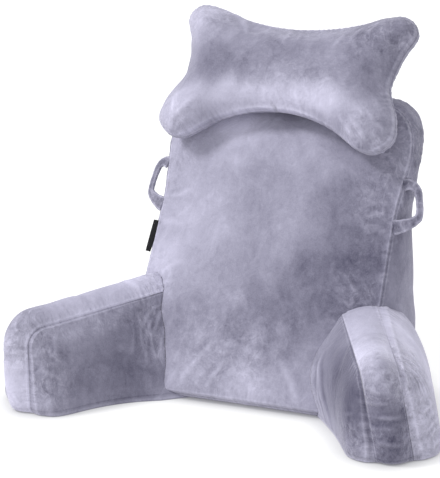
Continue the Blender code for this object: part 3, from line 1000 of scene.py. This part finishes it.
def makeStrap(name, side, sizes, levels, crumple, seed):
    # a cube drawn out along its stations, then smoothed; crumple is the height of its creases
    s = strapLook
    stations = np.array(sizes["stations"])
    count = len(stations)
    turn = radians(s["turn"])
    out = Vector((side * cos(turn), sin(turn), 0))
    upward = Vector((0, backSizes["lean"], 1)).normalized()
    face = out.cross(upward).normalized()
    centres = []
    for reach, up, _, _ in stations:
        height = up / slope
        seam = Vector((side * float(halfWidth(height)), float(frontY(np.float64(height))), height))
        centres.append(seam + out * reach)
    bm = cutCube((count - 2, s["cutsAcross"], 1))
    layers = {key: bm.verts.layers.float.new(key) for key in ("along", "seam", "napLightAndShade", "glintAndShade", "crush")}
    total = sum((b - a).length for a, b in zip(centres, centres[1:]))
    toneHeight, tonePace, toneMiddle = s["napLightAndShade"]
    edgeGlint, middleShade = s["glintAndShade"]
    for vert in bm.verts:
        index = round((vert.co.x + 1) / 2 * (count - 1))
        direction = centres[min(index + 1, count - 1)] - centres[max(index - 1, 0)]
        sideways = face.cross(direction).normalized()
        width, thickness = stations[index][2:]
        share, high = vert.co.y, vert.co.z
        vert[layers["along"]] = index / (count - 1) * total
        vert[layers["seam"]] = (1 - abs(share)) * width / 2
        # painted shade darkens the strap, changing along it
        vert[layers["napLightAndShade"]] = toneHeight * sin(index * tonePace + seed) + toneMiddle
        # lighter edges and a darker middle: painted glint and shade
        vert[layers["glintAndShade"]] = edgeGlint * share ** 4 + middleShade
        vert[layers["crush"]] = 1.0
        swell = 1 - s["thinEdge"] * share ** 4
        vert.co = centres[index] + sideways * width / 2 * share + face * thickness / 2 * high * swell
    piece = closedPiece(bm, name)
    if levels:
        softer(piece, levels)
    if crumple:
        mesh = piece.data
        places = placesOf(mesh)
        seam = kept(mesh, "seam")
        broad, fine = s["creases"]
        depth, inset, width = s["stitches"]
        amount = crumple * waves(places, broad, seed) + crumple * 0.7 * waves(places, fine, seed + 1)
        amount -= depth * np.exp(-((seam - inset) / width) ** 2)
        movePoints(mesh, places + normalsOf(mesh) * amount[:, None])
    return piece, total, float(stations[:, 2].mean())


# making the pieces

back = makeBackrest()
print("backrest made")
arms = {"arm_left": makeArm(armLeft), "arm_right": makeArm(armRight)}
print("arms made")
neck = makeNeckPillow()
print("neck pillow made")
loops = {
    "loop_left": makeStrap("loopLeftCover", -1, loopSizes, 3, 0.0007, 51),
    "loop_right": makeStrap("loopRightCover", 1, loopSizes, 3, 0.0007, 61),
}
tag = makeStrap("tagTape", -1, tagSizes, 0, 0, 0)
for piece in list(arms.values()) + [neck]:
    cutBy(piece, back)
print("loops and tag made")


# materials

class Socket:  # wraps a node's output, so that shader maths reads as maths
    def __init__(self, tree, link=None):
        self.tree = tree
        self.link = link

    def node(self, kind, inputs, output=0, **settings):
        made = self.tree.nodes.new(kind)
        for name, value in settings.items():
            setattr(made, name, value)
        self.feed(made, inputs)
        return Socket(self.tree, made.outputs[output])

    def feed(self, made, inputs):
        for name, value in inputs.items():
            if isinstance(value, Socket):
                self.tree.links.new(value.link, made.inputs[name])
            else:
                made.inputs[name].default_value = value

    def mix(self, share, first, second):
        return self.node("ShaderNodeMix", {0: share, 6: first, 7: second}, output=2, data_type="RGBA")

    def bump(self, height):
        return self.node("ShaderNodeBump", {"Height": height, "Strength": 1, "Distance": 1}, output="Normal")

    def maths(self, operation, first, second=0.0, clamped=False):
        return self.node("ShaderNodeMath", {0: first, 1: second}, operation=operation, use_clamp=clamped)

    def __add__(self, other):
        return self.maths("ADD", self, other)

    __radd__ = __add__

    def __sub__(self, other):
        return self.maths("SUBTRACT", self, other)

    def __rsub__(self, other):
        return self.maths("SUBTRACT", other, self)

    def __mul__(self, other):
        return self.maths("MULTIPLY", self, other)

    def __abs__(self):
        return self.maths("ABSOLUTE", self)

    def clamped(self):
        return self.maths("ADD", self, 0.0, True)


def newMaterial(name):
    material = bpy.data.materials.new(name)
    material.use_nodes = True
    tree = material.node_tree
    return material, Socket(tree), tree.nodes["Principled BSDF"]


def fieldNoise(start, place, scale, detail=2.0, roughness=0.5, distortion=0.0):
    return start.node("ShaderNodeTexNoise", {"Vector": place, "Scale": scale, "Detail": detail,
                                             "Roughness": roughness, "Distortion": distortion})


def measured(start, name):
    return start.node("ShaderNodeAttribute", {}, output="Fac", attribute_name=name)


def line(distance, at, width):  # 1 on a line at this distance, 0 beyond its width
    return (1 - abs(distance - at) * (1 / width)).clamped()


velvetLook = {
    "dark": (0.055, 0.052, 0.092, 1),
    "light": (0.64, 0.622, 0.77, 1),
    "tone": 0.425,  # the pile at rest, between dark and light
    "napLightAndShade": 0.3,  # how far the nap's areas go, with the light and shade painted into them
    "clouds": 0.5,
    "blotches": 0.4,
    "fine": 0.28,
    "sheen": 0.55,
    "sheenRoughness": 0.32,
    "sheenTint": (0.9, 0.88, 1.0, 1),
    "roughness": 0.8,
    "specular": 0.25,
    "noises": {  # scale, detail, roughness, distortion
        "brushed": (17, 7, 0.74, 1.1),
        "crumpled": (44, 5, 0.68, 1.5),
        "fine": (95, 4, 0.75, 0.4),
        "clouds": (6, 3, 0.55, 0.5),
        "blotches": (21, 4, 0.62, 1.0),
        "pile": (520, 2, 0.7, 0),
    },
}


def makeVelvet():
    look = velvetLook
    material, start, shader = newMaterial("velvetPile")
    place = start.node("ShaderNodeTexCoord", {}, output="Object")
    drawn = start.node("ShaderNodeMapping", {"Vector": place, "Scale": (1.0, 1.0, 0.7)})
    napLightAndShade, crush, glintAndShade = measured(start, "napLightAndShade"), measured(start, "crush"), measured(start, "glintAndShade")
    seam, along = measured(start, "seam"), measured(start, "along")

    noises = look["noises"]
    brushed, crumpled, clouds, blotches = (
        fieldNoise(start, drawn, *noises[name]) for name in ("brushed", "crumpled", "clouds", "blotches"))
    fine, pile = (fieldNoise(start, place, *noises[name]) for name in ("fine", "pile"))
    wisps = ((brushed - 0.53) * 7.0).clamped()  # where the pile lies over, with ragged edges
    smudges = ((0.44 - brushed) * 7.0).clamped()
    glints = ((crumpled - 0.55) * 7.0).clamped()

    beside = start.node("ShaderNodeCombineXYZ", {0: along * 95.0, 1: seam * 45.0})
    puckers = fieldNoise(start, beside, 1.0, 2.0, 0.6)
    nearSeam = (1 - seam * 80.0).clamped()
    level = start.node("ShaderNodeSeparateXYZ", {"Vector": place}, output="Z")
    hem = line(level, 0.004, 0.005) - line(level, 0.012, 0.002) * 0.5
    stitched = line(seam, 0.0, 0.0010)
    welt = line(seam, 0.0026, 0.0020) * (0.8 + crush * 0.6)

    # the nap's areas add painted light and shade to the tone
    tone = look["tone"] + napLightAndShade * look["napLightAndShade"] + crush * 0.05 + (clouds - 0.5) * look["clouds"]
    tone = tone + (blotches - 0.5) * look["blotches"] * (0.7 + crush * 0.6)
    tone = tone + wisps * (0.07 + crush * 0.15) - smudges * (0.06 + crush * 0.14)
    tone = tone + glints * (0.02 + crush * 0.22).clamped()
    tone = tone + (fine - 0.5) * look["fine"] * (0.7 + crush * 1.3)
    # beside a seam, the raised puckers and welts are painted lighter and the pucker hollows darker: painted
    # light and shade over the relief
    tone = tone + (puckers - 0.5) * nearSeam * 0.45 + welt * (0.10 + puckers * 0.10)
    # the fold ridges and strap edges are painted lighter, and the fold sides and strap middle darker:
    # painted glint and shade
    tone = tone + hem * (0.08 + puckers * 0.20) - stitched * 0.03 + glintAndShade * 0.24 + (pile - 0.5) * 0.20
    height = pile * 0.0004 + fine * (0.0010 + crush * 0.0010) + blotches * (0.0026 + crush * 0.0016)
    height = height + crumpled * (0.0006 + crush * 0.0052).clamped()
    height = height + (puckers - 0.5) * nearSeam * 0.0026 + welt * 0.0005 - stitched * 0.0004
    start.feed(shader, {
        "Base Color": start.mix(tone.clamped(), look["dark"], look["light"]),
        "Roughness": look["roughness"] + (fine - 0.5) * 0.25,
        "Normal": start.bump(height),
        "Sheen Weight": look["sheen"],
        "Sheen Roughness": look["sheenRoughness"],
        "Sheen Tint": look["sheenTint"],
        "Specular IOR Level": look["specular"],
    })
    return material


def makeTape():
    material, start, shader = newMaterial("wovenTape")
    place = start.node("ShaderNodeTexCoord", {}, output="Object")
    weave = start.node("ShaderNodeTexWave", {"Vector": place, "Scale": 260, "Distortion": 0.6, "Detail": 1},
                       bands_direction="Z")
    dust = fieldNoise(start, place, 60.0, 3.0, 0.6)
    tone = (weave * 0.35 + dust * 0.5).clamped()
    start.feed(shader, {
        "Base Color": start.mix(tone, (0.002, 0.002, 0.003, 1), (0.012, 0.012, 0.015, 1)),
        "Roughness": 0.8,
        "Normal": start.bump(weave * 0.0003),
        "Specular IOR Level": 0.2,
    })
    return material


velvet = makeVelvet()
tape = makeTape()


def finished(piece, node, material):
    piece.data.shade_smooth()
    piece.data.materials.clear()
    piece.data.materials.append(material)
    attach(piece, "root")
    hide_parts(node)


finished(back, "backrest", velvet)
for node, piece in arms.items():
    finished(piece, node, velvet)
finished(neck, "neck_pillow", velvet)
for node, (piece, length, width) in loops.items():
    finished(piece, node, velvet)
finished(tag[0], "tag", tape)
print("pieces placed on their body")


# floor, light and camera

studio = {
    "sun": 1.9,
    "sunAngle": 14,
    "sunFrom": (-0.6, -0.46, 0.8),
    "sky": 0.84,
    "floor": (0.35, 0.35, 0.35, 1),
    "floorGlow": 0.74,
    "shade": (0.2, 0.2, 0.22, 1),
    "contact": 0.045,  # how far the shadow where the pillow stands reaches
}

bm = bmesh.new()
bmesh.ops.create_grid(bm, x_segments=2, y_segments=2, size=14)
floorMesh = bpy.data.meshes.new("studioFloor")
bm.to_mesh(floorMesh)
bm.free()
floor = bpy.data.objects.new("studioFloor", floorMesh)
scene.collection.objects.link(floor)
floorPaint, start, shader = newMaterial("studioPaint")
# the floor glows, and ambient occlusion darkens the glow where the pillow stands: a painted contact shadow
openness = start.node("ShaderNodeAmbientOcclusion", {"Distance": studio["contact"]}, output="AO", samples=16)
start.feed(shader, {
    "Base Color": studio["floor"],
    "Roughness": 0.9,
    "Emission Color": start.mix(openness, studio["shade"], (1, 1, 1, 1)),
    "Emission Strength": studio["floorGlow"],
})
floorMesh.materials.append(floorPaint)

world = bpy.data.worlds.new("studioSky")
world.use_nodes = True
start.feed(world.node_tree.nodes["Background"], {"Color": (0.97, 0.98, 1.0, 1), "Strength": studio["sky"]})
scene.world = world

lamp = bpy.data.lights.new("window", "SUN")
lamp.energy = studio["sun"]
lamp.angle = radians(studio["sunAngle"])
window = bpy.data.objects.new("window", lamp)
window.rotation_euler = Vector(studio["sunFrom"]).to_track_quat("Z", "Y").to_euler()
scene.collection.objects.link(window)

cameraSizes = {
    "azimuth": 26.0,
    "elevation": 16.5,
    "distance": 4.2,
    "target": (-0.03, -0.14, 0.333),
    "roll": -1.6,
    "focalPixels": 2187,
    "framePixels": 478,  # its height
}
azimuth, elevation = radians(cameraSizes["azimuth"]), radians(cameraSizes["elevation"])
backwards = Vector((sin(azimuth) * cos(elevation), -cos(azimuth) * cos(elevation), sin(elevation)))
lens = bpy.data.cameras.new("photoCamera")
lens.sensor_fit = "VERTICAL"
lens.angle_y = 2 * atan(cameraSizes["framePixels"] / 2 / cameraSizes["focalPixels"])
lens.clip_end = 100
camera = bpy.data.objects.new("photoCamera", lens)
camera.location = Vector(cameraSizes["target"]) + backwards * cameraSizes["distance"]
camera.rotation_mode = "QUATERNION"
camera.rotation_quaternion = (backwards.to_track_quat("Z", "Y")
                              @ Quaternion((0, 0, 1), radians(cameraSizes["roll"])))
scene.collection.objects.link(camera)
scene.camera = camera
scene.view_settings.view_transform = "Standard"
scene.view_settings.look = "None"
print("floor, light and camera made")
